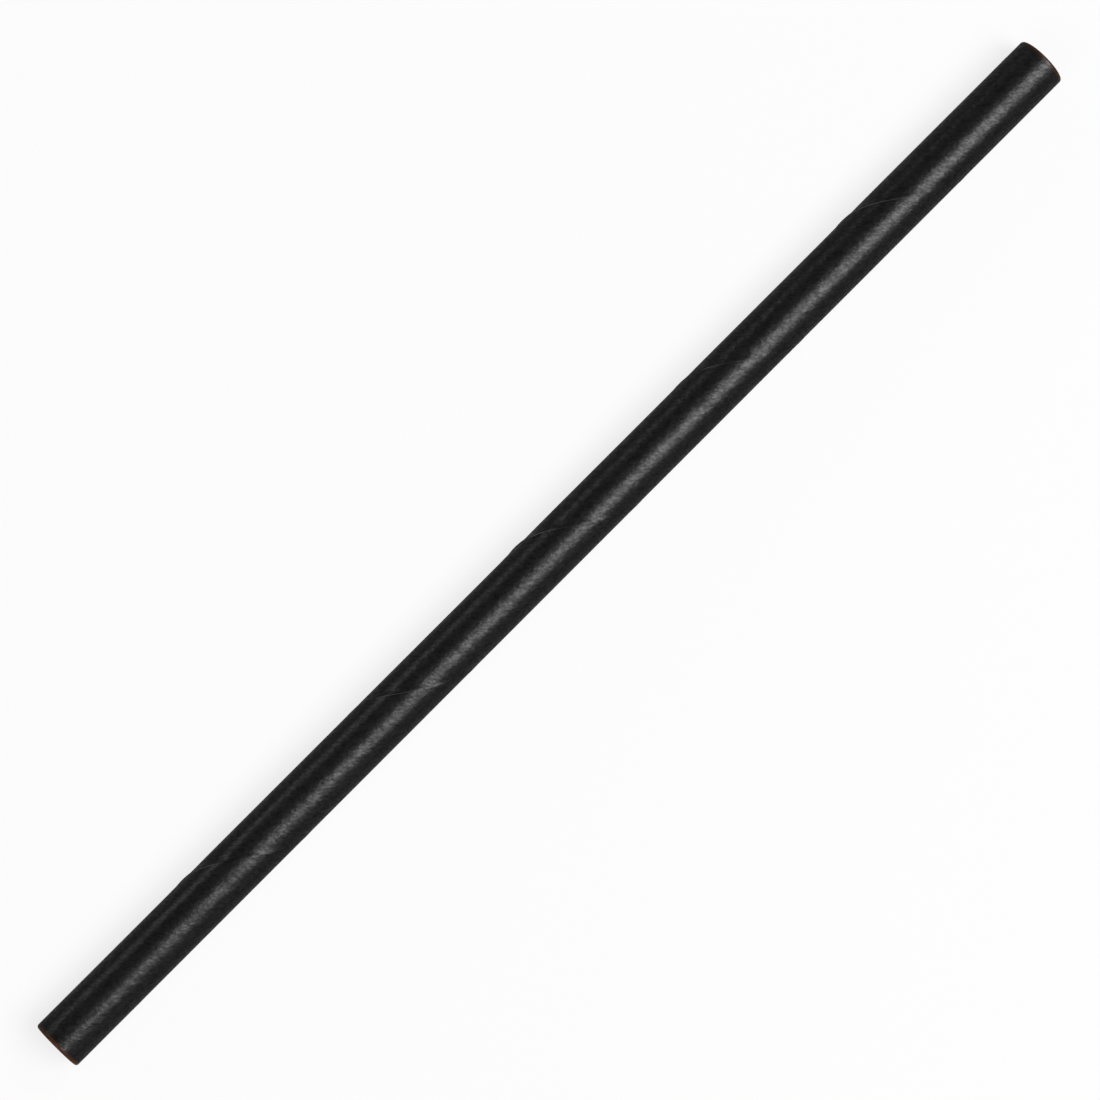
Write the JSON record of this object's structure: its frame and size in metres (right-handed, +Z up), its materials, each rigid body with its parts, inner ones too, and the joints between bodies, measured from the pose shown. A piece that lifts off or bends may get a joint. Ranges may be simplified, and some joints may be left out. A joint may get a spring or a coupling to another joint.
{
  "type": "paper drinking straw",
  "caption": "Short black paper drinking straw: a stiff tube wound in a spiral from a narrow strip, open right through, with a fine raised seam and square cut ends.",
  "frame": {"origin": "below the middle of the straw, on the surface that it lies on", "axes": "+X along the straw, +Z up from the surface that it lies on"},
  "size_m": [0.14, 0.0058, 0.0057],
  "materials": {
    "black_paper": "uncoated black paper with a faint sheen"
  },
  "bodies": {
    "root": {"straw_tube": "black_paper"}
  },
  "joints": []
}
